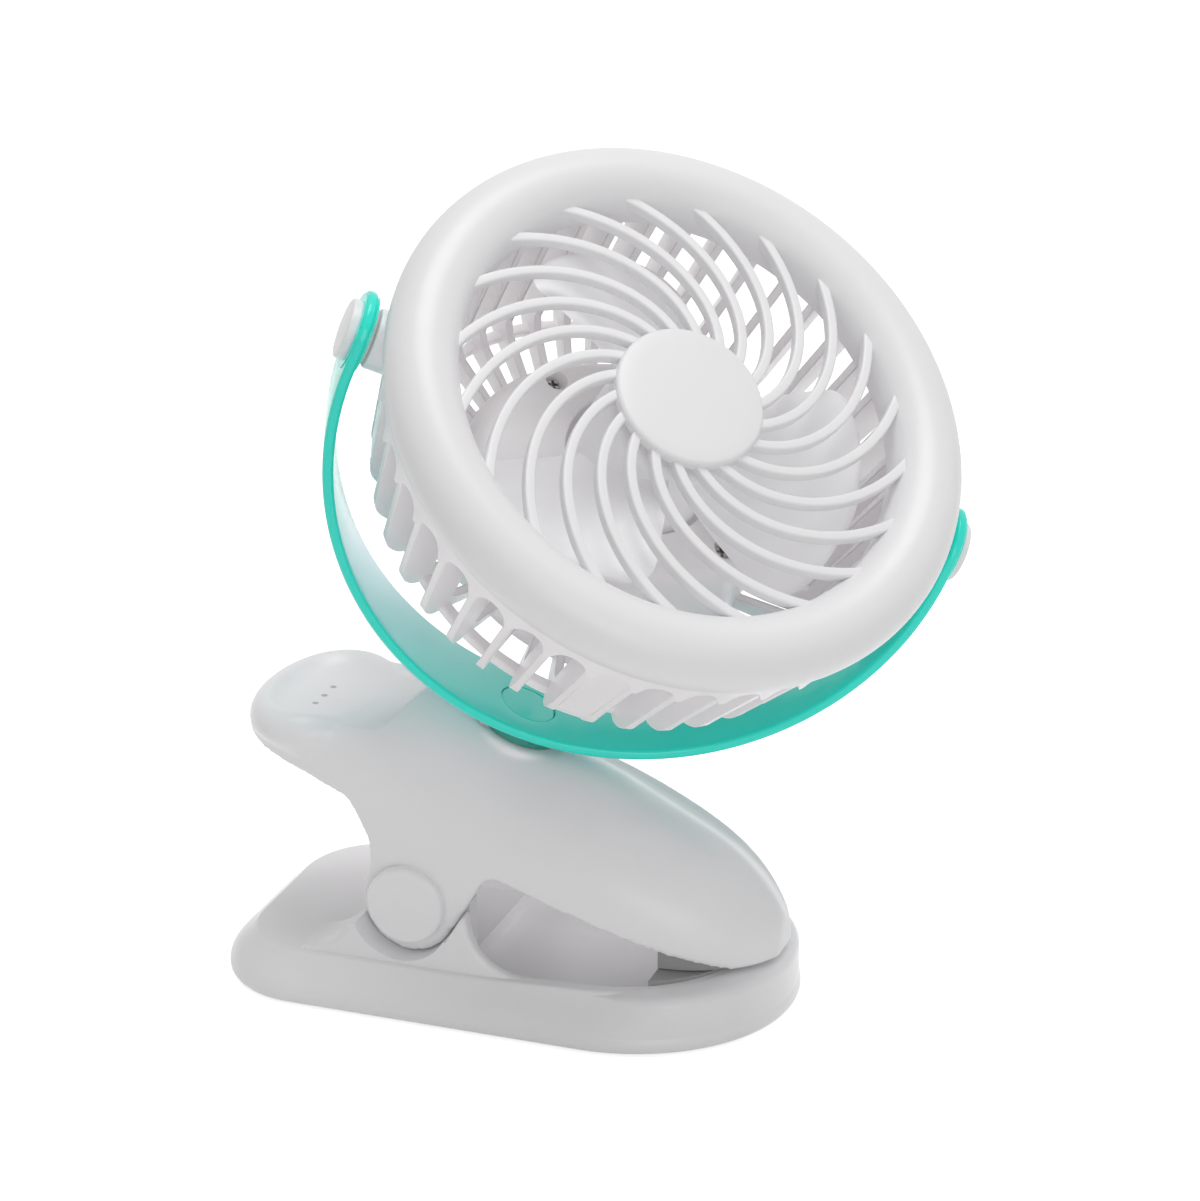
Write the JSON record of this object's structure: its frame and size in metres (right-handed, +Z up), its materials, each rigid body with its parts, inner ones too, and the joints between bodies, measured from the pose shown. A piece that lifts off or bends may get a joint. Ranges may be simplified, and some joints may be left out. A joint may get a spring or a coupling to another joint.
{
  "type": "clip-on mini fan",
  "caption": "Rechargeable mini fan on a spring clip: grille head with spiral bars and radial rear fins, tilting in a turquoise U yoke that swivels on a white clip stand.",
  "frame": {"origin": "middle of the stand's flat underside, under the clip", "axes": "+X towards the clip's nose, +Z up, -Y the side that faces the camera in the picture"},
  "size_m": [0.1735, 0.1373, 0.2019],
  "materials": {
    "white_clip": "smooth satin moulded white",
    "white_head": "smooth satin moulded white",
    "white_fan": "smooth moulded white",
    "white_button": "smooth moulded white",
    "turquoise": "polished moulded turquoise",
    "turquoise_deep": "polished moulded deep turquoise",
    "grey_rubber": "matte soft rubber",
    "foot_rubber": "matte soft rubber",
    "white_sole": "fine grained moulded white",
    "screw_steel": "plated steel",
    "bright_steel": "ground steel",
    "spring_steel": "drawn wire",
    "washer_nylon": "natural nylon",
    "motor_steel": "plated can",
    "motor_brass": "turned brass",
    "cell_wrap": "shrink wrap",
    "board_green": "solder mask",
    "inlet_steel": "folded sheet",
    "lens_clear": "clear moulded"
  },
  "bodies": {
    "base": {"base_shell": "white_clip", "sole_plate": "white_sole", "sole_screws": "screw_steel", "foot_mat": "foot_rubber", "lower_jaw_pad": "grey_rubber", "clip_spring": "spring_steel"},
    "jaw": {"upper_jaw": "white_clip", "upper_jaw_pad": "grey_rubber", "clip_pin": "bright_steel", "pivot_caps": "white_clip", "clip_spring_arm": "spring_steel"},
    "yoke_frame": {"yoke": "turquoise", "swivel_collar": "turquoise_deep", "swivel_bolt": "screw_steel", "swivel_washer": "bright_steel", "swivel_nut": "screw_steel", "yoke_cover": "turquoise", "tilt_caps": "white_head", "friction_washers": "washer_nylon"},
    "head": {"tilt_screws": "screw_steel", "front_grille": "white_head", "rear_cage": "white_head", "hub_screws": "screw_steel", "motor_can": "motor_steel", "motor_bush": "motor_brass", "pod_shell": "white_head", "pod_cover": "white_head", "pod_screws": "screw_steel", "battery_cell": "cell_wrap", "circuit_board": "board_green", "charge_inlet": "inlet_steel", "indicator_lens": "lens_clear"},
    "rotor": {"impeller": "white_fan", "motor_shaft": "bright_steel"},
    "button": {"power_button": "white_button"}
  },
  "joints": [
    {"name": "clip_open", "type": "hinge", "parent": "base", "child": "jaw", "pos_m": [-0.0185, 0, 0.0255], "axis": [0, -1, 0], "range_deg": [0, 30], "stiffness_Nm_per_rad": 0.8, "springref_deg": -57.3},
    {"name": "yoke_swivel", "type": "hinge", "parent": "jaw", "child": "yoke_frame", "pos_m": [0.0008, 0, 0.0651], "axis": [0.4179, 0, 0.9085], "continuous": true},
    {"name": "head_tilt", "type": "hinge", "parent": "yoke_frame", "child": "head", "pos_m": [0.03553, 0, 0.1406], "axis": [0.835, 0.3939, -0.3841], "continuous": true},
    {"name": "impeller_spin", "type": "hinge", "parent": "head", "child": "rotor", "pos_m": [0.03553, 0, 0.1406], "axis": [0.5373, -0.4336, 0.7234], "continuous": true},
    {"name": "power_button_press", "type": "slide", "parent": "head", "child": "button", "axis": [0.1184, -0.8104, -0.5738], "range_m": [0, 0.001], "stiffness_N_per_m": 600, "springref_m": -0.001}
  ]
}
